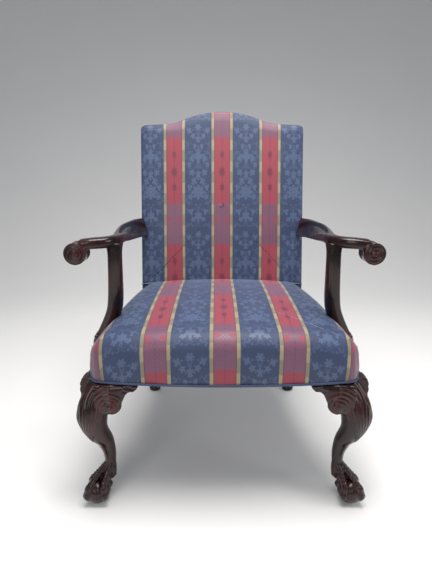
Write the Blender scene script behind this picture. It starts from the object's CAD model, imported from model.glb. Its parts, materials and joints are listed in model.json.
import json
from math import atan2, cos, exp, hypot, pi, radians, sin, sqrt

import bmesh
import bpy
from mathutils import Matrix, Vector


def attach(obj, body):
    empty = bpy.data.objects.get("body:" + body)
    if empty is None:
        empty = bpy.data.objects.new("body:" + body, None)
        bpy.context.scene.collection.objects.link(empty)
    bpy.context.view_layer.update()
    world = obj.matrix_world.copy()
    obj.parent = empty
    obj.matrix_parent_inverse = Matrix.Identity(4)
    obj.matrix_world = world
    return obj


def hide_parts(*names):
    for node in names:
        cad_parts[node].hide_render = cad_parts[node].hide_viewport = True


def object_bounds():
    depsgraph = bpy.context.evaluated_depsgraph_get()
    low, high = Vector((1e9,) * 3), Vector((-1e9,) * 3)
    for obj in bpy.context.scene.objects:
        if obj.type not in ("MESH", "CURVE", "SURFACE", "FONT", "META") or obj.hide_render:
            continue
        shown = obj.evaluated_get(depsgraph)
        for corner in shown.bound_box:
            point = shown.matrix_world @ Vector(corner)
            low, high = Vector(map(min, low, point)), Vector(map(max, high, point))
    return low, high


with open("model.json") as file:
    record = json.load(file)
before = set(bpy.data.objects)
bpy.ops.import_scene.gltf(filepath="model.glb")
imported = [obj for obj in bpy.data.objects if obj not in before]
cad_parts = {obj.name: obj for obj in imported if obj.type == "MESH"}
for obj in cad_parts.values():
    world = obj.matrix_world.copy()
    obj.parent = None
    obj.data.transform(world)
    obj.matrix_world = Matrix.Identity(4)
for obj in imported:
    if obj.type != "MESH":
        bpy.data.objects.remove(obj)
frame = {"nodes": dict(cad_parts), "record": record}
cad_low, cad_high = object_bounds()

# ---- Studio --------
# A pale seamless floor and a large soft light overhead, a little in front of the chair, with weak
# light from the sides, so that the top of the seat is bright and its front falls into shade.
scene = bpy.context.scene
FRONT_Y = cad_low[1]
EYE_HEIGHT = 0.83
EYE_AHEAD = 0.8897
EYE_LEFT = 0.0208
TILT_DOWN = 15.26
LENS = 26.28


def add_node(tree, kind, inputs=None, **settings):
    """New shader node with its settings, and its inputs set or linked by name."""
    node = tree.nodes.new("ShaderNode" + kind)
    for label, value in settings.items():
        setattr(node, label, value)
    for label, value in (inputs or {}).items():
        if isinstance(value, bpy.types.NodeSocket):
            tree.links.new(value, node.inputs[label])
        else:
            node.inputs[label].default_value = value
    return node


def ramp(tree, factor, first, last):
    """Colour between two, by a factor."""
    node = add_node(tree, "ValToRGB", {"Fac": factor})
    node.color_ramp.elements[0].color = (*first, 1)
    node.color_ramp.elements[1].color = (*last, 1)
    return node.outputs["Color"]


def new_material(name):
    """Material with nodes: its tree, and its shader."""
    made = bpy.data.materials.new(name)
    made.use_nodes = True
    return made, made.node_tree, made.node_tree.nodes["Principled BSDF"]


def bump(tree, height, shader, distance, strength=1.0):
    node = add_node(tree, "Bump", {"Height": height, "Strength": strength, "Distance": distance})
    tree.links.new(node.outputs["Normal"], shader.inputs["Normal"])


FLOOR_HALF = 9
SWEEP_START = 1.6               # where the backdrop begins to curve up
SWEEP_RISE = 0.22
floor_mesh = bmesh.new()
bmesh.ops.create_grid(floor_mesh, x_segments=40, y_segments=120, size=FLOOR_HALF)
for vert in floor_mesh.verts:
    vert.co.z = SWEEP_RISE * max(0.0, vert.co.y - SWEEP_START) ** 2
for face in floor_mesh.faces:
    face.smooth = True
floor_data = bpy.data.meshes.new("studio_floor")
floor_mesh.to_mesh(floor_data)
floor_mesh.free()
studio_floor = bpy.data.objects.new("studio_floor", floor_data)
scene.collection.objects.link(studio_floor)
pale, pale_tree, pale_shader = new_material("pale_floor")
pale_shader.inputs["Roughness"].default_value = 0.9
speckle = add_node(pale_tree, "TexNoise", {"Scale": 30})
pale_tone = ramp(pale_tree, speckle.outputs["Fac"], (0.86, 0.86, 0.855), (0.9, 0.9, 0.895))
pale_tree.links.new(pale_tone, pale_shader.inputs["Base Color"])
floor_data.materials.append(pale)

scene.view_settings.view_transform = "Standard"
world = bpy.data.worlds.new("studio")
world.use_nodes = True
scene.world = world
air = world.node_tree
lit_air = air.nodes["Background"]
lit_air.inputs["Color"].default_value = (0.93, 0.95, 1.0, 1)
lit_air.inputs["Strength"].default_value = 0.30
seen_air = air.nodes.new("ShaderNodeBackground")
seen_air.inputs["Color"].default_value = (1, 1, 1, 1)
seen_air.inputs["Strength"].default_value = 1.0
ray_kind = air.nodes.new("ShaderNodeLightPath")
either = air.nodes.new("ShaderNodeMixShader")
air.links.new(ray_kind.outputs["Is Camera Ray"], either.inputs["Fac"])
air.links.new(lit_air.outputs["Background"], either.inputs[1])
air.links.new(seen_air.outputs["Background"], either.inputs[2])
air.links.new(either.outputs["Shader"], air.nodes["World Output"].inputs["Surface"])


def soft_light(name, place, aim, wide, power, tint=(1, 1, 1)):
    data = bpy.data.lights.new(name, "AREA")
    data.size = wide
    data.energy = power
    data.color = tint
    lamp = bpy.data.objects.new(name, data)
    lamp.location = place
    lamp.rotation_euler = (Vector(aim) - Vector(place)).to_track_quat("-Z", "Y").to_euler()
    scene.collection.objects.link(lamp)


soft_light("overhead_light", (0.1, -0.35, 2.6), (0, 0, 0.4), 1.5, 74, (1, 0.98, 0.95))
soft_light("front_light", (-0.9, -2.6, 1.5), (0, 0, 0.55), 1.4, 16)
soft_light("side_light", (2.2, -0.9, 1.3), (0, 0, 0.5), 1.0, 12)

camera_data = bpy.data.cameras.new("camera")
camera_data.lens = LENS
camera = bpy.data.objects.new("camera", camera_data)
camera.location = (-EYE_LEFT, FRONT_Y - EYE_AHEAD, EYE_HEIGHT)
camera.rotation_euler = (radians(90 - TILT_DOWN), 0, 0)
scene.collection.objects.link(camera)
scene.camera = camera

# ---- Front legs --------
# Cabriole legs cut from a square mahogany blank, the knee carved with strands that roll out of a
# volute on the ear and run down to a leaf tip. Each ends in a claw that grips a ball.
KNEE_OUT = 0.363
KNEE_FRONT = FRONT_Y
LEG_SECTIONS = (                # height, outer face from the middle line, width, roundness
    (0.352, 0.324, 0.056, 0.35),
    (0.336, 0.331, 0.062, 0.45),
    (0.318, 0.3425, 0.070, 0.6),
    (0.300, 0.352, 0.075, 0.75),
    (0.283, 0.3585, 0.077, 0.85),
    (0.262, 0.3627, 0.075, 0.9),
    (0.245, 0.3622, 0.071, 0.95),
    (0.215, 0.3535, 0.060, 0.95),
    (0.180, 0.3385, 0.0525, 0.95),
    (0.160, 0.3265, 0.0425, 1.0),
    (0.127, 0.3155, 0.0325, 1.0),
    (0.100, 0.3135, 0.029, 1.0),
    (0.082, 0.317, 0.033, 1.0),
    (0.062, 0.329, 0.045, 1.0),
)
BALL = Vector((0.3285, FRONT_Y + 0.0345, 0.0315))
BALL_RADIUS = 0.0315
CARVING_VOXEL = 0.0017


def ring(mesh, middle, across, up, half_wide, half_high, roundness, points=40):
    """Closed loop of edges shaped between a square and an ellipse, in the plane of across and up."""
    made = bmesh.ops.create_circle(mesh, segments=points, radius=1)
    power = 0.35 + 0.65 * roundness
    for vert in made["verts"]:
        c, s = vert.co.x, vert.co.y
        x = (abs(c) ** power) * (1 if c > 0 else -1) * half_wide
        y = (abs(s) ** power) * (1 if s > 0 else -1) * half_high
        vert.co = middle + across * x + up * y
    return list({edge for vert in made["verts"] for edge in vert.link_edges})


def lofted(mesh, loops, domed=False):
    """Skin drawn over a row of loops, closed at both ends, the last one to a point if domed."""
    for one, other in zip(loops, loops[1:]):
        bmesh.ops.bridge_loops(mesh, edges=one + other)
    bmesh.ops.contextual_create(mesh, geom=loops[0])
    if domed:
        last = list({vert for edge in loops[-1] for vert in edge.verts})
        middle = sum((vert.co for vert in last), Vector()) / len(last)
        bmesh.ops.pointmerge(mesh, verts=last, merge_co=middle)
    else:
        bmesh.ops.contextual_create(mesh, geom=loops[-1])


def between(rows, along):
    """Row of values read at a point along a table of rows, on a smooth curve through them."""
    at = min(max(along, 0.0), 1.0) * (len(rows) - 1)
    step = min(int(at), len(rows) - 2)
    t = at - step
    before = rows[max(step - 1, 0)]
    after = rows[min(step + 2, len(rows) - 1)]
    found = []
    for a, b, c, d in zip(before, rows[step], rows[step + 1], after):
        found.append(0.5 * (2 * b + (c - a) * t + (2 * a - 5 * b + 4 * c - d) * t * t
                            + (3 * b - a - 3 * c + d) * t * t * t))
    return found


def to_object(mesh, name):
    bmesh.ops.recalc_face_normals(mesh, faces=mesh.faces[:])
    data = bpy.data.meshes.new(name)
    mesh.to_mesh(data)
    mesh.free()
    piece = bpy.data.objects.new(name, data)
    scene.collection.objects.link(piece)
    return piece


def fused(mesh, name, voxel, passes):
    """One skin over overlapping closed shapes, eased where they meet."""
    rough = to_object(mesh, name + "_rough")
    remesh = rough.modifiers.new("fuse", "REMESH")
    remesh.mode = "VOXEL"
    remesh.voxel_size = voxel
    seen = rough.evaluated_get(bpy.context.evaluated_depsgraph_get())
    data = bpy.data.meshes.new_from_object(seen)
    bpy.data.objects.remove(rough)
    skin = bmesh.new()
    skin.from_mesh(data)
    for _ in range(passes):
        bmesh.ops.smooth_vert(
            skin, verts=skin.verts[:], factor=0.5, use_axis_x=True, use_axis_y=True, use_axis_z=True
        )
    bpy.data.meshes.remove(data)
    return skin


def cut(skin, depth_at):
    """Moves each point along its normal by what depth_at says and keeps the amount for the finish."""
    skin.normal_update()
    relief = skin.verts.layers.float.new("relief")
    moves = []
    for vert in skin.verts:
        depth = depth_at(vert.co, vert.normal)
        moves.append(vert.normal * depth)
        vert[relief] = depth
    for vert, move in zip(skin.verts, moves):
        vert.co += move


TO_RIGHT = Vector((1, 0, 0))
TO_REAR = Vector((0, 1, 0))
UPWARD = Vector((0, 0, 1))
VOLUTE_BACK = 0.089             # the volute's eye, from the knee's corner
VOLUTE_Z = 0.289
STRAND = 0.0098                 # from one carved strand to the next
STRAND_DEPTH = 0.0024
LEAF_TIP_Z = 0.157
LEAF_TIP_BACK = 0.016
CARVED_TOP = 0.3425             # where the carving stops under the seat
VOLUTE_REACH = 0.036            # the volute fades out this far behind its eye
EYE_RADIUS = 0.005
EYE_PROUD = 0.0030


def strand_relief(back, z):
    """Carving of knee and ears: height at a point that lies back from the knee's corner, at height z."""
    if z > CARVED_TOP or z < LEAF_TIP_Z - 0.002:
        return 0.0
    if z >= VOLUTE_Z or back > VOLUTE_BACK:
        radius = hypot(back - VOLUTE_BACK, z - VOLUTE_Z)
        turn = atan2(z - VOLUTE_Z, VOLUTE_BACK - back) / (2 * pi)
        fade = 1.0
        if back > VOLUTE_BACK:
            fade = min(max((VOLUTE_REACH - radius) / 0.008, 0.0), 1.0)
    else:
        fall = (VOLUTE_Z - z) / (VOLUTE_Z - LEAF_TIP_Z)
        gather = min(fall ** 1.25, 0.94)
        radius = VOLUTE_BACK - (back - LEAF_TIP_BACK * gather) / (1 - gather)
        turn = 0.0
        fade = 1.0
        if radius < 0.018:
            fade = max(0.0, 1 - (0.018 - radius) / 0.006)
    if radius < 0.0:
        return 0.0
    spiral = turn if radius < 0.03 else turn * max(0.0, 1 - (radius - 0.03) / 0.01)
    wave = abs(sin(pi * (radius / STRAND + spiral)))
    raised = 0.0009 + STRAND_DEPTH * (wave - 0.45)
    if radius < EYE_RADIUS:
        raised = EYE_PROUD
    edge = min(max((VOLUTE_BACK + 0.002 - radius) / 0.004, 0.0), 1.0) if z < VOLUTE_Z else 1.0
    return raised * fade * edge


def leg_relief(point, normal):
    """Strands on the knee's two outward faces, and fine scoring on the toes."""
    x, y, z = abs(point.x), point.y - KNEE_FRONT, point.z
    out = KNEE_OUT - x
    if z > 0.15:
        back = max(out, y) if z > 0.2 else max(out, y) - 0.02 * (0.2 - z) / 0.05
        outward = max(abs(normal.x) if normal.x * point.x > 0 else 0, -normal.y)
        if outward < 0.35:
            return 0.0
        shown = min(1.0, (outward - 0.35) / 0.25)
        if out < y + 0.006 and y < out + 0.006:
            back = max(back, (out + y) * 0.5)
        return strand_relief(back, z) * shown
    if z < 0.1:
        spoke = atan2(y - 0.0345, x - BALL.x)
        near = min(max((0.098 - z) / 0.03, 0.0), 1.0)
        reach = hypot(y - 0.0345, x - BALL.x)
        if reach > 0.02 and z > 0.03:
            return 0.0007 * near * sin(spoke * 26)
    return 0.0


leg_mesh = bmesh.new()
leg_loops = []
RINGS = 44
for count in range(RINGS):
    z, outer, wide, roundness = between(LEG_SECTIONS, count / (RINGS - 1))
    middle = Vector((outer - wide / 2, KNEE_FRONT + (KNEE_OUT - outer) + wide / 2, z))
    leg_loops.append(ring(leg_mesh, middle, TO_RIGHT, TO_REAR, wide / 2, wide / 2, roundness))
lofted(leg_mesh, leg_loops)
bmesh.ops.create_uvsphere(
    leg_mesh, u_segments=40, v_segments=24, radius=BALL_RADIUS, matrix=Matrix.Translation(BALL)
)
# four toes, each a row of swelling joints from the ankle, over the ball, to a pointed claw
ANKLE = Vector((0.2995, KNEE_FRONT + 0.0635, 0.098))
TOE = ((0.0, 0.0085), (0.22, 0.0078), (0.38, 0.0098), (0.5, 0.0080), (0.62, 0.0078), (0.74, 0.0100),
       (0.84, 0.0078), (0.92, 0.0060), (1.0, 0.0036))
for turn in (-45, -135, 135, 45):
    facing = Vector((cos(radians(turn)), sin(radians(turn)), 0))
    for step in range(25):
        along = step / 24
        low = TOE[max(k for k in range(len(TOE)) if TOE[k][0] <= along + 1e-6)]
        high = TOE[min(TOE.index(low) + 1, len(TOE) - 1)]
        share = (along - low[0]) / max(high[0] - low[0], 1e-6)
        thick = low[1] + (high[1] - low[1]) * share
        polar = radians(18 + 92 * along)
        over = BALL + facing * (BALL_RADIUS + 0.001) * sin(polar)
        over += UPWARD * (BALL_RADIUS + 0.002) * cos(polar)
        start = ANKLE + facing * 0.008
        ease = min(1.0, along / 0.42)
        place = start.lerp(over, ease * ease * (3 - 2 * ease))
        place.z = max(place.z, thick * 0.9)
        bmesh.ops.create_icosphere(leg_mesh, subdivisions=2, radius=thick, matrix=Matrix.Translation(place))
leg_skin = fused(leg_mesh, "front_leg", CARVING_VOXEL, 2)
cut(leg_skin, leg_relief)
for vert in leg_skin.verts:
    vert.co.z = max(vert.co.z, 0.0)


def group_of(name, takes, gives):
    """Empty shader node group with named inputs and outputs."""
    made = bpy.data.node_groups.new(name, "ShaderNodeTree")
    for label, kind, value in takes:
        socket = made.interface.new_socket(label, in_out="INPUT", socket_type=kind)
        if value is not None:
            socket.default_value = value
    for label, kind in gives:
        made.interface.new_socket(label, in_out="OUTPUT", socket_type=kind)
    return made, made.nodes.new("NodeGroupInput"), made.nodes.new("NodeGroupOutput")


def polished_grain():
    """Grain lines, pores and the dark that gathers in carving, as one group for every polished timber."""
    made, taken, given = group_of(
        "polished_grain",
        (("Vector", "NodeSocketVector", None), ("Relief", "NodeSocketFloat", 0.0),
         ("Dark", "NodeSocketColor", (0.006, 0.002, 0.002, 1)),
         ("Warm", "NodeSocketColor", (0.05, 0.011, 0.008, 1))),
        (("Color", "NodeSocketColor"), ("Roughness", "NodeSocketFloat"), ("Height", "NodeSocketFloat")),
    )
    link = made.links.new
    where = taken.outputs["Vector"]
    stretch = add_node(made, "Mapping", {"Vector": where, "Scale": (60, 60, 7)})
    lines = add_node(made, "TexNoise", {
        "Vector": stretch.outputs["Vector"], "Scale": 1.6, "Detail": 6, "Distortion": 0.6,
    })
    clouds = add_node(made, "TexNoise", {"Vector": where, "Scale": 9})
    blend = add_node(made, "Math", operation="MULTIPLY")
    link(lines.outputs["Fac"], blend.inputs[0])
    link(clouds.outputs["Fac"], blend.inputs[1])
    shade = add_node(made, "MapRange", {"Value": blend.outputs[0], "From Min": 0.14, "From Max": 0.36})
    lift = add_node(made, "MapRange", {
        "Value": taken.outputs["Relief"],
        "From Min": -0.0009, "From Max": 0.0012, "To Min": 0.25, "To Max": 1.15,
    })
    toned = add_node(made, "Math", operation="MULTIPLY")
    link(shade.outputs["Result"], toned.inputs[0])
    link(lift.outputs["Result"], toned.inputs[1])
    tint = add_node(made, "Mix", data_type="RGBA")
    link(toned.outputs[0], tint.inputs["Factor"])
    link(taken.outputs["Dark"], tint.inputs["A"])
    link(taken.outputs["Warm"], tint.inputs["B"])
    link(tint.outputs["Result"], given.inputs["Color"])
    rough = add_node(made, "MapRange", {"Value": clouds.outputs["Fac"], "To Min": 0.2, "To Max": 0.36})
    link(rough.outputs["Result"], given.inputs["Roughness"])
    link(lines.outputs["Fac"], given.inputs["Height"])
    return made


GRAIN = polished_grain()


def timber(name, dark, warm, coat, bump_strength):
    """Polished wood: the grain group into a lacquered shader."""
    made, tree, shader = new_material(name)
    shader.inputs["Coat Weight"].default_value = coat
    shader.inputs["Coat Roughness"].default_value = 0.08
    shader.inputs["Specular IOR Level"].default_value = 0.25
    where = add_node(tree, "TexCoord")
    relief = add_node(tree, "Attribute", attribute_name="relief")
    grain = add_node(tree, "Group", {
        "Vector": where.outputs["Object"], "Relief": relief.outputs["Fac"],
        "Dark": (*dark, 1), "Warm": (*warm, 1),
    }, node_tree=GRAIN)
    tree.links.new(grain.outputs["Color"], shader.inputs["Base Color"])
    tree.links.new(grain.outputs["Roughness"], shader.inputs["Roughness"])
    bump(tree, grain.outputs["Height"], shader, 0.0006, bump_strength)
    return made


MAHOGANY = timber("polished_mahogany", (0.0030, 0.0008, 0.0009), (0.046, 0.0062, 0.0056), 0.4, 0.14)


def finish_pair(skin, name, nodes_replaced):
    """Writes the right-hand piece and its mirror image on the left, polished."""
    for side, sign in (("right", 1), ("left", -1)):
        half = skin.copy()
        if sign < 0:
            bmesh.ops.scale(half, vec=(-1, 1, 1), verts=half.verts)
            bmesh.ops.reverse_faces(half, faces=half.faces)
        for face in half.faces:
            face.smooth = True
        data = bpy.data.meshes.new(f"{name}_{side}_wood")
        half.to_mesh(data)
        half.free()
        piece = bpy.data.objects.new(f"{name}_{side}_wood", data)
        scene.collection.objects.link(piece)
        data.materials.append(MAHOGANY)
        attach(piece, "root")
        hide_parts(*[f"{node}_{side}" for node in nodes_replaced])
    skin.free()


finish_pair(leg_skin, "front_leg", ["front_leg"])

# ---- Carved ears --------
# Brackets glued under the rails beside each knee. The strands of the knee start from a volute on
# the ear, and a small stepped scroll ends it against the rail.
EAR_EDGE = (                    # distance from the middle line, and height of the lower edge there
    (0.2075, 0.3385), (0.2115, 0.330), (0.2200, 0.3235), (0.2320, 0.3215), (0.2400, 0.3130), (0.2465, 0.2995),
    (0.2520, 0.2870), (0.2590, 0.2755), (0.2680, 0.2685), (0.2800, 0.2645), (0.2950, 0.2640), (0.312, 0.264),
)
EAR_HALF = 0.018                # half the ear's thickness
BOSS_RADIUS = 0.0245
EAR_TOP = 0.3445
EAR_SECTIONS = 34


def ear_relief(point, normal):
    """The knee's strands, and beyond the volute the ripples of the stepped end."""
    face = -normal.y
    if face < 0.3:
        return 0.0
    back = KNEE_OUT - abs(point.x)
    depth = strand_relief(back, point.z)
    if back > VOLUTE_BACK + 0.03:
        depth = 0.0011 * sin((point.z - 0.32) * 520 + back * 160)
    return depth * min(1.0, (face - 0.3) / 0.3)


ear_mesh = bmesh.new()
ear_loops = []
for count in range(EAR_SECTIONS):
    x, low = between(EAR_EDGE, count / (EAR_SECTIONS - 1))
    nose = 0.017 - 0.010 * min(1.0, (x - 0.2075) / 0.08)
    middle = Vector((x, KNEE_FRONT + nose + EAR_HALF, (EAR_TOP + low) / 2))
    ear_loops.append(ring(ear_mesh, middle, TO_REAR, UPWARD, EAR_HALF, (EAR_TOP - low) / 2, 0.35))
lofted(ear_mesh, ear_loops)
boss = Matrix.Translation((KNEE_OUT - VOLUTE_BACK, KNEE_FRONT + 0.021, VOLUTE_Z))
boss = boss @ Matrix.Diagonal((1, 0.62, 1, 1))
bmesh.ops.create_uvsphere(ear_mesh, u_segments=32, v_segments=20, radius=BOSS_RADIUS, matrix=boss)
ear_skin = fused(ear_mesh, "front_ear", 0.0014, 2)
cut(ear_skin, ear_relief)
side_ear_skin = ear_skin.copy()
# the side ear is the front one folded over the knee's diagonal
fold = (KNEE_OUT + KNEE_FRONT) / 2
for vert in side_ear_skin.verts:
    x, y = vert.co.x, vert.co.y
    vert.co.x, vert.co.y = 2 * fold - y, 2 * fold - x
bmesh.ops.reverse_faces(side_ear_skin, faces=side_ear_skin.faces)
finish_pair(ear_skin, "front_ear", ["front_ear"])
finish_pair(side_ear_skin, "side_ear", ["side_ear"])

# ---- Arms --------
# Each arm is sawn and carved from one board. It leaves the back post on edge, twists flat into a
# hollowed rest, narrows over the support and rolls outward into a scroll carved with a volute.
ARM_SECTIONS = (                # middle, distance behind the knees, height, heading, width, thickness, tilt
    (0.2650, 0.598, 0.648, -90, 0.066, 0.021, 80),
    (0.2715, 0.560, 0.651, -90, 0.066, 0.022, 70),
    (0.2775, 0.515, 0.655, -90, 0.066, 0.022, 56),
    (0.2800, 0.450, 0.659, -90, 0.064, 0.023, 43),
    (0.2810, 0.370, 0.663, -90, 0.060, 0.024, 36),
    (0.2800, 0.300, 0.665, -90, 0.050, 0.025, 30),
    (0.2775, 0.240, 0.667, -88, 0.038, 0.026, 20),
    (0.2745, 0.190, 0.6675, -82, 0.032, 0.027, 6),
    (0.2790, 0.155, 0.6675, -60, 0.033, 0.028, 0),
    (0.2960, 0.133, 0.6675, -26, 0.036, 0.028, 0),
    (0.3200, 0.124, 0.6670, -6, 0.039, 0.0275, 0),
    (0.3480, 0.121, 0.6650, 0, 0.042, 0.026, 0),
)
SCROLL = Vector((0.3585, FRONT_Y + 0.120, 0.6445))
SCROLL_RADIUS = 0.0272
SCROLL_HALF = 0.022
HOLLOW = 0.0085
COIL = 0.0088                   # from one turn of the scroll's volute to the next
ARM_REAR = 0.598                # the arm's rear end, behind the knees
STATION = 0.002
REST_MIDDLE = 0.385             # the hollow's middle and half its length, behind the knees
REST_HALF = 0.175


def arm_frame(values):
    """Middle of an arm section, the directions of its width and thickness, and both sizes."""
    x, behind, z, heading, wide, thick, tilt = values
    ahead = Vector((cos(radians(heading)), sin(radians(heading)), 0))
    across = Vector((-ahead.y, ahead.x, 0))
    raised = across * cos(radians(tilt)) + Vector((0, 0, sin(radians(tilt))))
    upper = raised.cross(ahead) * -1
    return Vector((x, FRONT_Y + behind, z)), raised, upper, wide, thick


def arm_relief(point, normal):
    """The rest's hollow, with a rim left round it, and the scroll's volute."""
    local = point - SCROLL
    reach = hypot(local.x, local.z)
    if reach < SCROLL_RADIUS + 0.002 and abs(local.y) > SCROLL_HALF - 0.006 and abs(normal.y) > 0.5:
        turn = atan2(local.z, local.x) / (2 * pi)
        coil = (reach / COIL + turn) % 1.0
        groove = exp(-((coil - 0.5) / 0.16) ** 2)
        eye = 0.0022 if reach < 0.0052 else 0.0
        return 0.0008 - 0.0026 * groove * (reach > 0.0055) * (reach < SCROLL_RADIUS - 0.002) + eye
    behind = point.y - FRONT_Y
    if behind < 0.2 or behind > 0.57:
        return 0.0
    at = ARM_STATIONS[min(int((ARM_REAR - behind) / STATION), len(ARM_STATIONS) - 1)]
    middle, raised, upper, wide, thick = at
    offset = point - middle
    across = offset.dot(raised) / (wide / 2)
    if offset.dot(upper) < thick * 0.18 or normal.dot(upper) < 0.35:
        return 0.0
    length = (behind - REST_MIDDLE) / REST_HALF
    inside = 1 - (across / 0.80) ** 2 - (length ** 2) ** 1.4
    return -HOLLOW * min(1.0, max(0.0, inside) * 1.6)


ARM_STATIONS = []
station_rows = [between(ARM_SECTIONS, step / 1200) for step in range(1201)]
for step in range(200):
    behind = ARM_REAR - STATION * step
    ARM_STATIONS.append(arm_frame(min(station_rows, key=lambda row: abs(row[1] - behind))))

arm_mesh = bmesh.new()
arm_loops = []
ARM_RINGS = 70
for count in range(ARM_RINGS):
    middle, raised, upper, wide, thick = arm_frame(between(ARM_SECTIONS, count / (ARM_RINGS - 1)))
    arm_loops.append(ring(arm_mesh, middle, raised, upper, wide / 2, thick / 2, 0.5))
lofted(arm_mesh, arm_loops)
drum_loops = []
DRUM_PROFILE = (                # how far in from the rim, and how far along the drum
    (0.003, -1.0), (0.0, -0.86), (0.0018, -0.4), (0.0022, 0.0), (0.0018, 0.4), (0.0, 0.86), (0.003, 1.0),
)
for inset, depth in DRUM_PROFILE:
    middle = SCROLL + Vector((0, SCROLL_HALF * depth, 0))
    reach = SCROLL_RADIUS - inset
    drum_loops.append(ring(arm_mesh, middle, TO_RIGHT, UPWARD, reach, reach, 1.0, 56))
lofted(arm_mesh, drum_loops)
arm_skin = fused(arm_mesh, "arm", 0.0018, 3)
cut(arm_skin, arm_relief)
finish_pair(arm_skin, "arm", ["arm"])

# ---- Arm supports --------
# S-shaped uprights tenoned into the arms. They sweep out and back to a moulded foot that is screwed
# to the outside of the side rail, where the seat's cloth is folded in round them.
SUPPORT_SECTIONS = (            # height, outer face, width, distance behind the knees, depth, roundness
    (0.664, 0.3000, 0.047, 0.158, 0.046, 0.8),
    (0.652, 0.2945, 0.039, 0.155, 0.040, 0.7),
    (0.636, 0.2920, 0.0350, 0.152, 0.0355, 0.5),
    (0.602, 0.2930, 0.0350, 0.152, 0.034, 0.4),
    (0.562, 0.2965, 0.0365, 0.158, 0.035, 0.4),
    (0.522, 0.3015, 0.0385, 0.166, 0.036, 0.4),
    (0.487, 0.3085, 0.0400, 0.174, 0.037, 0.4),
    (0.456, 0.3215, 0.0420, 0.182, 0.038, 0.4),
    (0.430, 0.3350, 0.0430, 0.190, 0.040, 0.4),
    (0.412, 0.3450, 0.0440, 0.196, 0.042, 0.4),
    (0.390, 0.3580, 0.0500, 0.203, 0.045, 0.4),
    (0.362, 0.3630, 0.0560, 0.209, 0.047, 0.4),
)


def support_relief(point, normal):
    """A bead along each front corner and two steps above the foot."""
    z = point.z
    steps = 0.0
    for level in (0.408, 0.399):
        steps += 0.0018 * exp(-((z - level) / 0.0022) ** 2)
    corner = min(abs(normal.x), abs(normal.y))
    bead = -0.0008 * exp(-((corner - 0.36) / 0.10) ** 2) if 0.42 < z < 0.64 else 0.0
    return steps + bead


support_mesh = bmesh.new()
support_loops = []
SUPPORT_RINGS = 56
for count in range(SUPPORT_RINGS):
    z, outer, wide, behind, deep, roundness = between(SUPPORT_SECTIONS, count / (SUPPORT_RINGS - 1))
    middle = Vector((outer - wide / 2, FRONT_Y + behind, z))
    support_loops.append(ring(support_mesh, middle, TO_RIGHT, TO_REAR, wide / 2, deep / 2, roundness))
lofted(support_mesh, support_loops)
support_skin = fused(support_mesh, "arm_support", 0.0018, 2)
cut(support_skin, support_relief)
finish_pair(support_skin, "arm_support", ["arm_support"])

# ---- Rear legs, frame and springs --------
# The raked rear legs run up as the back posts, polished where they show. Rails and blocks are plain
# beech inside the covers, with oiled wire springs, jute webbing and hessian between them.
BEECH = timber("plain_beech", (0.34, 0.20, 0.10), (0.62, 0.44, 0.26), 0.0, 0.3)


def metal(name, colour, roughness):
    """Wire, screw or tack metal with fine marks on it."""
    made, tree, shader = new_material(name)
    shader.inputs["Metallic"].default_value = 1
    where = add_node(tree, "TexCoord").outputs["Object"]
    marks = add_node(tree, "TexNoise", {"Vector": where, "Scale": 220}).outputs["Fac"]
    dull = add_node(tree, "MapRange", {"Value": marks, "To Min": roughness - 0.1, "To Max": roughness + 0.15})
    tree.links.new(dull.outputs["Result"], shader.inputs["Roughness"])
    tone = ramp(tree, marks, [c * 0.7 for c in colour], colour)
    tree.links.new(tone, shader.inputs["Base Color"])
    return made


def plain_cloth(name, dark, light, threads):
    """Open plain weave seen from close by: two crossing sets of threads."""
    made, tree, shader = new_material(name)
    shader.inputs["Roughness"].default_value = 0.9
    where = add_node(tree, "TexCoord").outputs["Object"]
    both = add_node(tree, "Math", operation="MAXIMUM")
    for slot, direction in enumerate(("X", "Y")):
        wave = add_node(tree, "TexWave", {"Vector": where, "Scale": threads, "Distortion": 0.6},
                        bands_direction=direction)
        tree.links.new(wave.outputs["Fac"], both.inputs[slot])
    tree.links.new(ramp(tree, both.outputs[0], dark, light), shader.inputs["Base Color"])
    bump(tree, both.outputs[0], shader, 0.0005)
    return made


NODE_FINISHES = {
    "mahogany": MAHOGANY,
    "beech": BEECH,
    "spring_steel": metal("oiled_spring_wire", (0.32, 0.32, 0.33), 0.4),
    "screw_steel": metal("zinc_screw", (0.62, 0.6, 0.5), 0.3),
    "blued_steel": metal("blued_tack", (0.07, 0.08, 0.12), 0.3),
    "hessian": plain_cloth("jute_hessian", (0.16, 0.11, 0.05), (0.5, 0.38, 0.22), 160),
    "dust_cloth": plain_cloth("black_bottoming", (0.008, 0.008, 0.01), (0.03, 0.03, 0.034), 240),
    "padding": plain_cloth("cotton_wadding", (0.7, 0.67, 0.58), (0.86, 0.83, 0.75), 60),
}
for entry in frame["record"]["subparts"]:
    finish = NODE_FINISHES.get(entry["material_slot"])
    if finish:
        node = frame["nodes"][entry["node"]]
        node.data.materials.clear()
        node.data.materials.append(finish)

# ---- Striped damask --------
# A silk-like cloth in broad blue stripes figured tone on tone with leaves and flowers, between
# narrower red stripes with small sprigs, each red stripe edged by a straw line. The pattern is read
# from the place on the flat cloth: metres across from the middle stripe, and metres along.
STRIPE_REPEAT = 0.1625
LENGTH_REPEAT = 0.36
RED_HALF = 0.0262
STRAW_HALF = 0.0358


def maths(tree, operation, *values):
    """One or more chained sums in a shader: sockets or numbers in, a socket out."""
    node = tree.nodes.new("ShaderNodeMath")
    node.operation = operation
    for slot, value in enumerate(values):
        if isinstance(value, (int, float)):
            node.inputs[slot].default_value = value
        else:
            tree.links.new(value, node.inputs[slot])
    return node.outputs[0]


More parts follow.
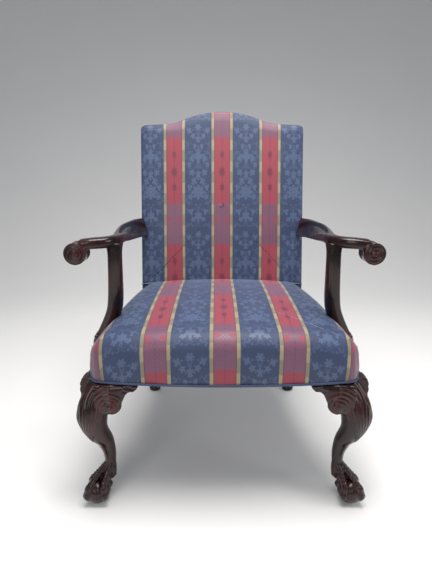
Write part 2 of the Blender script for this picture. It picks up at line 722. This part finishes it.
def step_down(tree, value, edge, soft):
    """1 below the edge, 0 above it, with a soft border."""
    node = add_node(tree, "MapRange", {
        "Value": value, "From Min": edge - soft, "From Max": edge + soft, "To Min": 1, "To Max": 0,
    }, interpolation_type="SMOOTHSTEP")
    return node.outputs["Result"]


# one flower, leaf or drop: a shape with petals round a middle
ROSETTE, taken, given = group_of(
    "rosette",
    [(label, "NodeSocketFloat", value) for label, value in (
        ("Across", 0.0), ("Along", 0.0), ("Middle Across", 0.0), ("Middle Along", 0.0), ("Radius", 0.01),
        ("Stretch", 1.0), ("Petals", 5.0), ("Depth", 0.3), ("Turn", 0.0),
    )],
    (("Mask", "NodeSocketFloat"),),
)
dx = maths(ROSETTE, "SUBTRACT", taken.outputs["Across"], taken.outputs["Middle Across"])
dy = maths(ROSETTE, "SUBTRACT", taken.outputs["Along"], taken.outputs["Middle Along"])
dy = maths(ROSETTE, "DIVIDE", dy, taken.outputs["Stretch"])
squares = [maths(ROSETTE, "MULTIPLY", side, side) for side in (dx, dy)]
reach = maths(ROSETTE, "SQRT", maths(ROSETTE, "ADD", *squares))
angle = maths(ROSETTE, "ADD", maths(ROSETTE, "ARCTAN2", dx, dy), taken.outputs["Turn"])
petal = maths(ROSETTE, "ABSOLUTE", maths(ROSETTE, "COSINE", maths(ROSETTE, "MULTIPLY", angle, maths(
    ROSETTE, "MULTIPLY", taken.outputs["Petals"], 0.5))))
petal = maths(ROSETTE, "SUBTRACT", 1.0, maths(ROSETTE, "MULTIPLY", taken.outputs["Depth"], maths(
    ROSETTE, "SUBTRACT", 1.0, petal)))
share = maths(ROSETTE, "DIVIDE", reach, maths(ROSETTE, "MULTIPLY", petal, taken.outputs["Radius"]))
body = step_down(ROSETTE, share, 1.0, 0.09)
vein = maths(ROSETTE, "SINE", maths(ROSETTE, "MULTIPLY", share, 15.0))
vein = maths(ROSETTE, "MULTIPLY_ADD", vein, 0.28, 0.72)
ROSETTE.links.new(maths(ROSETTE, "MULTIPLY", body, vein), given.inputs["Mask"])


def cloth_pattern():
    made, taken, given = group_of(
        "striped_damask",
        (("Vector", "NodeSocketVector", None),),
        (("Color", "NodeSocketColor"), ("Figure", "NodeSocketFloat"), ("Thread", "NodeSocketFloat")),
    )
    link = made.links.new

    def calc(operation, *values):
        return maths(made, operation, *values)

    def bloom(across, along, shape):
        """The rosette group at one place, with its size, stretch, petals, depth and turn."""
        node = made.nodes.new("ShaderNodeGroup")
        node.node_tree = ROSETTE
        link(across, node.inputs["Across"])
        link(along, node.inputs["Along"])
        labels = ("Middle Across", "Middle Along", "Radius", "Stretch", "Petals", "Depth", "Turn")
        for label, value in zip(labels, shape):
            node.inputs[label].default_value = value
        return node.outputs["Mask"]

    split = made.nodes.new("ShaderNodeSeparateXYZ")
    link(taken.outputs["Vector"], split.inputs["Vector"])
    across, along = split.outputs["X"], split.outputs["Y"]
    wrapped = calc("WRAP", across, STRIPE_REPEAT / 2, -STRIPE_REPEAT / 2)
    from_red = calc("ABSOLUTE", wrapped)
    from_blue = calc("SUBTRACT", STRIPE_REPEAT / 2, from_red)
    repeat = calc("WRAP", along, LENGTH_REPEAT, 0.0)

    # tone-on-tone figures on the blue, mirrored about its middle: flowers among curling leaves
    place = made.nodes.new("ShaderNodeCombineXYZ")
    link(from_blue, place.inputs["X"])
    link(calc("PINGPONG", calc("ADD", along, 0.02), LENGTH_REPEAT / 2), place.inputs["Y"])
    leaves = add_node(made, "TexVoronoi", {
        "Vector": place.outputs["Vector"], "Scale": 125, "Randomness": 0.85,
    })
    veins = calc("MULTIPLY_ADD", calc("SINE", calc("MULTIPLY", leaves.outputs["Distance"], 21.0)), 0.35, 0.65)
    figure = calc("MULTIPLY", step_down(made, leaves.outputs["Distance"], 0.50, 0.05), veins)
    gaps = add_node(made, "TexNoise", {"Vector": place.outputs["Vector"], "Scale": 34, "Detail": 0})
    figure = calc("MULTIPLY", figure, calc("SUBTRACT", 1.0, step_down(made, gaps.outputs["Fac"], 0.45, 0.05)))
    figure = calc("MULTIPLY", figure, 0.55)
    blue_shapes = (
        (0.000, 0.032, 0.0130, 1.30, 6, 0.45, 0.0), (0.017, 0.020, 0.0090, 1.00, 5, 0.55, 0.6),
        (0.024, 0.046, 0.0085, 1.50, 3, 0.60, 0.9), (0.000, 0.112, 0.0230, 1.10, 8, 0.38, 0.0),
        (0.026, 0.096, 0.0090, 1.20, 5, 0.50, 0.3), (0.029, 0.128, 0.0085, 1.40, 3, 0.55, 1.2),
        (0.014, 0.148, 0.0100, 1.30, 4, 0.60, 0.5), (0.000, 0.170, 0.0090, 1.90, 6, 0.50, 0.0),
        (0.022, 0.178, 0.0100, 1.20, 5, 0.60, 0.2), (0.031, 0.204, 0.0065, 1.70, 4, 0.50, 0.8),
        (0.000, 0.232, 0.0150, 1.60, 4, 0.50, 0.0), (0.021, 0.226, 0.0080, 1.90, 3, 0.50, 0.3),
        (0.012, 0.266, 0.0060, 1.60, 3, 0.40, 1.4), (0.000, 0.290, 0.0075, 1.80, 5, 0.50, 0.0),
        (0.018, 0.300, 0.0085, 1.20, 5, 0.60, 0.9), (0.030, 0.318, 0.0080, 1.40, 4, 0.55, 0.4),
        (0.000, 0.330, 0.0110, 1.10, 6, 0.55, 0.5),
    )
    for shape in blue_shapes:
        figure = calc("MAXIMUM", figure, bloom(from_blue, repeat, shape))
    on_blue = calc("SUBTRACT", 1.0, step_down(made, from_red, STRAW_HALF, 0.0006))
    figure = calc("MULTIPLY", figure, on_blue)

    # sprigs on the red and their darker middle line
    red_shapes = (
        (0.000, 0.128, 0.0080, 1.80, 6, 0.50, 0.0),
        (0.000, 0.180, 0.0110, 1.60, 8, 0.55, 0.0),
        (0.000, 0.238, 0.0080, 1.60, 6, 0.50, 0.3),
    )
    sprig = None
    for shape in red_shapes:
        bud = bloom(from_red, repeat, shape)
        sprig = bud if sprig is None else calc("MAXIMUM", sprig, bud)
    stem = step_down(made, from_red, 0.0011, 0.0006)
    sprig = calc("MAXIMUM", sprig, calc("MULTIPLY", stem, 0.55))
    on_red = step_down(made, from_red, RED_HALF, 0.0006)
    # the net that fills the red stripe for a stretch of each repeat: crossing slanted bars
    slant = calc("ADD", repeat, calc("MULTIPLY", from_red, 1.15))
    other = calc("SUBTRACT", repeat, calc("MULTIPLY", from_red, 1.15))
    bars = calc("SINE", calc("MULTIPLY", slant, 2 * pi / 0.0115))
    cross = calc("SINE", calc("MULTIPLY", other, 2 * pi / 0.0115))
    net = calc("SUBTRACT", 1.0, step_down(made, calc("MAXIMUM", bars, cross), 0.25, 0.25))
    zone = step_down(made, calc("ABSOLUTE", calc("SUBTRACT", repeat, 0.036)), 0.036, 0.006)
    second = step_down(made, calc("ABSOLUTE", calc("SUBTRACT", repeat, 0.33)), 0.034, 0.006)
    zone = calc("MAXIMUM", zone, second)
    point = calc("ABSOLUTE", calc("SUBTRACT", repeat, 0.02))
    point = calc("SUBTRACT", point, calc("MULTIPLY", from_red, 0.6))
    zone = calc("MULTIPLY", zone, calc("SUBTRACT", 1.0, step_down(made, point, -0.004, 0.003)))
    net = calc("MULTIPLY", net, zone)

    # straw edging, plain for a stretch and then speckled
    speckle_part = calc("GREATER_THAN", calc("SINE", calc("MULTIPLY", along, 2 * pi / 0.072)), -0.1)
    dots = calc("MULTIPLY", calc("SINE", calc("MULTIPLY", along, 2 * pi / 0.0062)),
                calc("SINE", calc("MULTIPLY", from_red, 2 * pi / 0.0062)))
    dots = calc("MULTIPLY", calc("GREATER_THAN", dots, 0.1), speckle_part)
    edge_line = step_down(made, calc("ABSOLUTE", calc("SUBTRACT", from_red, RED_HALF)), 0.0009, 0.0004)

    def mix(factor, first, second):
        node = made.nodes.new("ShaderNodeMix")
        node.data_type = "RGBA"
        link(factor, node.inputs["Factor"])
        for label, value in (("A", first), ("B", second)):
            if isinstance(value, tuple):
                node.inputs[label].default_value = (*value, 1)
            else:
                link(value, node.inputs[label])
        return node.outputs["Result"]

    blue = mix(figure, (0.024, 0.041, 0.098), (0.072, 0.108, 0.205))
    red = mix(sprig, (0.27, 0.038, 0.060), (0.085, 0.018, 0.040))
    red = mix(calc("MULTIPLY", net, 0.85), red, (0.075, 0.085, 0.155))
    straw = mix(dots, (0.31, 0.245, 0.15), (0.055, 0.058, 0.075))
    banded = mix(calc("SUBTRACT", 1.0, step_down(made, from_red, STRAW_HALF, 0.0006)), straw, blue)
    banded = mix(on_red, banded, red)
    banded = mix(calc("MULTIPLY", edge_line, 0.8), banded, (0.03, 0.022, 0.04))
    # threads, and the slow change of shade along them
    stretch = add_node(made, "Mapping", {"Vector": taken.outputs["Vector"], "Scale": (1400, 260, 1)})
    threads = add_node(made, "TexNoise", {"Vector": stretch.outputs["Vector"], "Scale": 1.0, "Detail": 3})
    shade = add_node(made, "MapRange", {
        "Value": threads.outputs["Fac"], "From Min": 0.3, "From Max": 0.7, "To Min": 0.78, "To Max": 1.2,
    })
    shaded = made.nodes.new("ShaderNodeVectorMath")
    shaded.operation = "SCALE"
    link(banded, shaded.inputs[0])
    link(shade.outputs["Result"], shaded.inputs["Scale"])
    link(shaded.outputs["Vector"], given.inputs["Color"])
    for raised in (sprig, net):
        figure = calc("MAXIMUM", figure, calc("MULTIPLY", raised, on_red))
    link(figure, given.inputs["Figure"])
    link(threads.outputs["Fac"], given.inputs["Thread"])
    return made


DAMASK, damask_tree, damask_shader = new_material("striped_damask")
damask_shader.inputs["Sheen Weight"].default_value = 0.45
damask_shader.inputs["Sheen Roughness"].default_value = 0.35
damask_shader.inputs["Sheen Tint"].default_value = (0.75, 0.82, 1.0, 1)
on_cloth = add_node(damask_tree, "Attribute", attribute_name="cloth")
woven = add_node(damask_tree, "Group", {"Vector": on_cloth.outputs["Vector"]}, node_tree=cloth_pattern())
damask_tree.links.new(woven.outputs["Color"], damask_shader.inputs["Base Color"])
satin = add_node(damask_tree, "MapRange", {"Value": woven.outputs["Figure"], "To Min": 0.58, "To Max": 0.42})
damask_tree.links.new(satin.outputs["Result"], damask_shader.inputs["Roughness"])
raised = maths(damask_tree, "MULTIPLY_ADD", woven.outputs["Thread"], 0.5, woven.outputs["Figure"])
bump(damask_tree, raised, damask_shader, 0.0004, 0.35)

# ---- Seat --------
# The cover is pulled over a domed pad, down the front and sides of the frame and under the rails.
# Its stripes run from back to front and down the front face. The front corners are pleated.
SEAT_UNDER = 0.345
COVER_REAR = 0.2337             # rear end of the cover beside the rails
TOP_DRAWN_IN = 0.064            # the seat's top ends this much nearer, against the back
SEAT_CROWN_Z = 0.4895
DOME_RADIUS = 2.4
DOME_Y = -0.05
CORNER_Y = FRONT_Y + 0.029
CORNER_HALF = 0.331
SIDE_DRAW = 0.0954              # how much the sides draw in for each unit towards the back
BOW = 0.0245
CORNER_RADIUS = 0.036
RIM_POINTS = 336


def seat_rim(share, rear_y):
    """Point and outward direction on the seat's plan, all the way round from the middle of the front."""
    bow_radius = (CORNER_HALF ** 2 + BOW ** 2) / (2 * BOW)
    side = 1 if share < 0.5 else -1
    go = share if share < 0.5 else 1 - share
    front_end, corner_end, side_end = 0.17, 0.21, 0.38
    sweep = atan2(CORNER_HALF - CORNER_RADIUS, bow_radius - BOW)
    middle = (bow_radius - CORNER_RADIUS) * Vector((sin(sweep), -cos(sweep)))
    middle.y += CORNER_Y - BOW + bow_radius
    side_turn = atan2(SIDE_DRAW, 1)
    if go <= front_end:
        angle = sweep * go / front_end
        out = Vector((sin(angle), -cos(angle)))
        place = Vector((0, CORNER_Y - BOW + bow_radius)) + out * bow_radius
    elif go <= corner_end:
        start, end = sweep - pi / 2, side_turn
        angle = start + (end - start) * (go - front_end) / (corner_end - front_end)
        out = Vector((cos(angle), sin(angle)))
        place = middle + out * CORNER_RADIUS
    else:
        out = Vector((cos(side_turn), sin(side_turn)))
        place = middle + out * CORNER_RADIUS
        if go <= side_end:
            reach = (rear_y - place.y) * (go - corner_end) / (side_end - corner_end)
            place += Vector((-out.y, out.x)) / out.x * reach
        else:
            place += Vector((-out.y, out.x)) / out.x * (rear_y - place.y)
            place.x *= 1 - (go - side_end) / (0.5 - side_end)
            out = Vector((0, 1))
    return Vector((place.x * side, place.y)), Vector((out.x * side, out.y))


def dome(x, y):
    """Height of the seat's crowned top."""
    return SEAT_CROWN_Z - DOME_RADIUS + sqrt(DOME_RADIUS ** 2 - x * x - (y - DOME_Y) ** 2)


seat_mesh = bmesh.new()
seat_cloth = seat_mesh.verts.layers.float_vector.new("cloth")
SEAT_MIDDLE = Vector((0, -0.085))
SUPPORT_SPOT = Vector((0.315, -0.165))
SEAT_ROWS = ([("under", 0.030), ("under", 0.008)] + [("wall", k / 8) for k in range(9)]
             + [("roll", k / 16) for k in range(1, 17)] + [("top", k / 26) for k in range(1, 26)]
             + [("top", 0.985), ("top", 0.996)])
seat_loops = []
for kind, amount in SEAT_ROWS:
    made = bmesh.ops.create_circle(seat_mesh, segments=RIM_POINTS, radius=1)
    for index, vert in enumerate(made["verts"]):
        share = (index + 0.5) / RIM_POINTS
        lift = {"under": 0, "wall": amount * 0.55, "roll": 0.55 + 0.45 * amount, "top": 1}[kind]
        rear = COVER_REAR - TOP_DRAWN_IN * min(1.0, max(0.0, (lift - 0.50) / 0.2))
        place, out = seat_rim(share, rear)
        sideways = out.x * out.x
        wide = 0.052 + 0.018 * sideways if out.y < 0.5 else 0.02
        high = 0.044 + 0.020 * sideways if out.y < 0.5 else 0.03
        inner = place - out * wide
        brow = dome(inner.x, inner.y)
        low = brow - high
        drop = 0.0
        if kind == "under":
            z, at = SEAT_UNDER + 0.0006, place - out * amount
            drop = low - SEAT_UNDER + 0.4 * wide + amount
        elif kind == "wall":
            z, at = SEAT_UNDER + (low - SEAT_UNDER) * amount, place.copy()
            drop = low - z + 0.43 * wide
            at += out * 0.0028 * sin(pi * amount)
        elif kind == "roll":
            angle = amount * pi / 2
            at = place - out * wide * (1 - cos(angle))
            z = low + high * sin(angle)
            drop = 0.43 * wide * (1 - sin(angle)) ** 1.3
        else:
            at = inner + (SEAT_MIDDLE - inner) * (amount ** 0.9)
            z = dome(at.x, at.y)
        # the cloth is drawn in a little by the foot of each arm support
        near = hypot(abs(at.x) - SUPPORT_SPOT.x, at.y - SUPPORT_SPOT.y)
        if z > 0.40:
            z -= 0.006 * exp(-(near / 0.035) ** 2)
        # pleats at the front corners and slight pulls down the front face
        pull = 0.0
        if kind in ("wall", "roll") and out.y < 0.3:
            corner = exp(-((abs(out.x) - 0.70) / 0.16) ** 2)
            pull -= 0.0022 * corner * exp(-((z - 0.395) / 0.05) ** 2)
            pull += 0.0009 * sin(place.x * 55 + z * 60) * (1 - sideways) * (1 - amount * (kind == "roll"))
        at += out * pull
        vert.co = Vector((at.x, at.y, z))
        side = 1 if place.x > 0 else -1
        along = at.y - FRONT_Y - drop * (1 - sideways) - 0.004
        vert[seat_cloth] = Vector((at.x + side * drop * sideways, along, 0))
    seat_loops.append(list({edge for vert in made["verts"] for edge in vert.link_edges}))
lofted(seat_mesh, seat_loops, domed=True)
pole = max(seat_mesh.verts, key=lambda vert: len(vert.link_edges))
pole[seat_cloth] = Vector((pole.co.x, pole.co.y - FRONT_Y - 0.004, 0))
for face in seat_mesh.faces:
    face.smooth = True
seat_upholstery = to_object(seat_mesh, "seat_upholstery")
seat_upholstery.data.materials.append(DAMASK)
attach(seat_upholstery, "root")
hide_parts("seat_cover", "seat_pad")

# ---- Back --------
# A padded slab between the raked posts under a camel-back top, with the same cloth over its face
# and sides. The face swells a little over its wadding.
SLOPE = atan2(0.21, 1)
BACK_FOOT = Vector((0, 0.1842, 0.425))
UP_SLOPE = Vector((0, sin(SLOPE), cos(SLOPE)))
BACK_AHEAD = Vector((0, -cos(SLOPE), sin(SLOPE)))
HALF_BACK = 0.278
SHOULDER_UP = 0.5765
CREST_UP = 0.6175
FLAT_FROM = 0.200
BACK_LOW = 0.012
TURN_RADIUS = 0.016


def crest_line(x):
    """How far up the slope the top edge stands at a distance from the middle."""
    rise = CREST_UP - SHOULDER_UP
    both = (rise ** 2 + FLAT_FROM ** 2) / (2 * rise)
    large, small = both * 0.67, both * 0.33
    meet = large * FLAT_FROM / both
    x = abs(x)
    if x < meet:
        return CREST_UP - large + sqrt(large ** 2 - x * x)
    if x < FLAT_FROM:
        return SHOULDER_UP + small - sqrt(small ** 2 - (x - FLAT_FROM) ** 2)
    return SHOULDER_UP - 0.004 * (x - FLAT_FROM) / (HALF_BACK - FLAT_FROM)


def back_rim():
    """Points round the back from the bottom left corner, over the top and down, and along the bottom."""
    found = []
    for k in range(70):
        found.append(Vector((-HALF_BACK, BACK_LOW + (SHOULDER_UP - TURN_RADIUS - BACK_LOW - 0.004) * k / 70)))
    for k in range(10):
        angle = pi - (pi / 2) * k / 10
        centre = Vector((-HALF_BACK + TURN_RADIUS, SHOULDER_UP - 0.004 - TURN_RADIUS))
        found.append(centre + TURN_RADIUS * Vector((cos(angle), sin(angle))))
    span = HALF_BACK - TURN_RADIUS
    for k in range(91):
        x = -span + 2 * span * k / 90
        found.append(Vector((x, crest_line(x))))
    found += [Vector((-point.x, point.y)) for point in reversed(found[:80])]
    for k in range(1, 60):
        found.append(Vector((HALF_BACK * (1 - 2 * k / 60), BACK_LOW)))
    return found


rim_of_back = back_rim()
rim_out = []
for index, point in enumerate(rim_of_back):
    ahead = rim_of_back[(index + 1) % len(rim_of_back)] - rim_of_back[index - 1]
    rim_out.append(Vector((-ahead.y, ahead.x)).normalized())
BACK_SIDE = 0.012               # radius where the face turns over the edge
FACE_AT = 0.028
REAR_AT = -0.0485
FACE_MIDDLE = Vector((0, 0.30))
FACE_SWELL = 0.009
CLOTH_START = 0.128             # place of the pattern on the back
back_mesh = bmesh.new()
back_cloth = back_mesh.verts.layers.float_vector.new("cloth")
BACK_ROWS = ([("rear", 0.25), ("rear", 0.0)] + [("wall", k / 6) for k in range(7)]
             + [("turn", k / 7) for k in range(1, 8)] + [("face", k / 26) for k in range(1, 26)]
             + [("face", 0.985), ("face", 0.996)])
back_loops = []
for kind, amount in BACK_ROWS:
    made = bmesh.ops.create_circle(back_mesh, segments=len(rim_of_back), radius=1)
    for vert, point, out in zip(made["verts"], rim_of_back, rim_out):
        inner = point - out * BACK_SIDE
        drop = 0.0
        if kind == "rear":
            flat, level = inner + (FACE_MIDDLE - inner) * amount, REAR_AT
            drop = FACE_AT - REAR_AT
        elif kind == "wall":
            flat, level = point, REAR_AT + (FACE_AT - BACK_SIDE - REAR_AT) * amount
            drop = FACE_AT - level - 0.005
        elif kind == "turn":
            angle = amount * pi / 2
            flat, level = point - out * BACK_SIDE * (1 - cos(angle)), FACE_AT - BACK_SIDE * (1 - sin(angle))
            drop = 0.007 * (1 - amount)
        else:
            flat = inner + (FACE_MIDDLE - inner) * amount
            crown = max(0.0, 1 - (flat.x / 0.268) ** 2) * max(0.0, 1 - ((flat.y - 0.31) / 0.30) ** 2)
            level = FACE_AT + FACE_SWELL * sqrt(crown)
        vert.co = BACK_FOOT + Vector((flat.x, 0, 0)) + UP_SLOPE * flat.y + BACK_AHEAD * level
        vert[back_cloth] = Vector((flat.x + out.x * drop, flat.y + out.y * drop + CLOTH_START, 0))
    back_loops.append(list({edge for vert in made["verts"] for edge in vert.link_edges}))
lofted(back_mesh, back_loops, domed=True)
pole = max(back_mesh.verts, key=lambda vert: len(vert.link_edges))
pole[back_cloth] = Vector((0, FACE_MIDDLE.y + CLOTH_START, 0))
for face in back_mesh.faces:
    face.smooth = True
back_upholstery = to_object(back_mesh, "back_upholstery")
back_upholstery.data.materials.append(DAMASK)
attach(back_upholstery, "root")
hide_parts("back_cover", "back_pad")

# ---- Outside back --------
# One flat panel of the same cloth, stretched down behind the posts and tacked under the rear rail.
panel_mesh = bmesh.new()
panel_cloth = panel_mesh.verts.layers.float_vector.new("cloth")
bmesh.ops.create_grid(panel_mesh, x_segments=90, y_segments=80, size=1)
PANEL_LOW = -0.078
REAR_RAIL_Y = 0.2312
for vert in panel_mesh.verts:
    x = vert.co.x * (HALF_BACK - 0.001)
    top = crest_line(x) - 0.0015
    if abs(x) > HALF_BACK - TURN_RADIUS:
        top -= TURN_RADIUS - sqrt(max(TURN_RADIUS ** 2 - (abs(x) - HALF_BACK + TURN_RADIUS) ** 2, 0.0))
    flat_y = PANEL_LOW + (top - PANEL_LOW) * (vert.co.y + 1) / 2
    place = BACK_FOOT + UP_SLOPE * flat_y + BACK_AHEAD * (REAR_AT - 0.0022)
    place.y = max(place.y, REAR_RAIL_Y)
    place.x = x
    place.y += 0.0008 * sin(x * 24) * cos(flat_y * 14)
    place.z = max(place.z, 0.3462)
    vert.co = place
    vert[panel_cloth] = Vector((x, flat_y + CLOTH_START, 0))
panel_area = sum(face.calc_area() for face in panel_mesh.faces)
for face in panel_mesh.faces:
    face.smooth = True
outside_panel = to_object(panel_mesh, "outside_back_panel")
outside_panel.data.materials.append(DAMASK)
hem = outside_panel.modifiers.new("cloth_thickness", "SOLIDIFY")
hem.thickness = 0.0012
hem.offset = 0
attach(outside_panel, "root")
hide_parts("outside_back")

# ---- Piping --------
# Blue cord piping round the seat's lower edge and the rear edge of the back, twisted like rope.
PIPING, piping_tree, piping_shader = new_material("blue_piping")
piping_shader.inputs["Roughness"].default_value = 0.62
piping_twist = add_node(piping_tree, "TexWave", {
    "Vector": add_node(piping_tree, "TexCoord").outputs["Object"], "Scale": 75,
}, bands_direction="DIAGONAL").outputs["Fac"]
piping_tone = ramp(piping_tree, piping_twist, (0.016, 0.024, 0.06), (0.06, 0.085, 0.18))
piping_tree.links.new(piping_tone, piping_shader.inputs["Base Color"])
bump(piping_tree, piping_twist, piping_shader, 0.0006)


def piping(name, points, radius, node):
    """Round cord along a line of points."""
    line = bpy.data.curves.new(name + "_line", "CURVE")
    line.dimensions = "3D"
    line.bevel_depth = radius
    line.bevel_resolution = 3
    line.use_fill_caps = True
    spline = line.splines.new("POLY")
    spline.points.add(len(points) - 1)
    for knot, point in zip(spline.points, points):
        knot.co = (*point, 1)
    rough = bpy.data.objects.new(name + "_line", line)
    scene.collection.objects.link(rough)
    data = bpy.data.meshes.new_from_object(rough.evaluated_get(bpy.context.evaluated_depsgraph_get()))
    bpy.data.objects.remove(rough)
    for face in data.polygons:
        face.use_smooth = True
    piece = bpy.data.objects.new(name, data)
    scene.collection.objects.link(piece)
    data.materials.clear()
    data.materials.append(PIPING)
    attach(piece, "root")
    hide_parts(node)


seat_line = []
for index in range(361):
    share = 0.62 + 0.76 * index / 360
    place, out = seat_rim(share % 1.0, COVER_REAR)
    place += out * 0.0012
    seat_line.append(Vector((place.x, place.y, SEAT_UNDER + 0.0036)))
piping("seat_piping", seat_line, 0.0031, "seat_welt")
back_line = []
for point, out in list(zip(rim_of_back, rim_out))[:251]:
    flat = point + out * 0.0006
    back_line.append(BACK_FOOT + Vector((flat.x, 0, 0)) + UP_SLOPE * flat.y + BACK_AHEAD * (REAR_AT - 0.0005))
piping("back_piping", back_line, 0.0025, "back_welt")

bpy.context.view_layer.update()
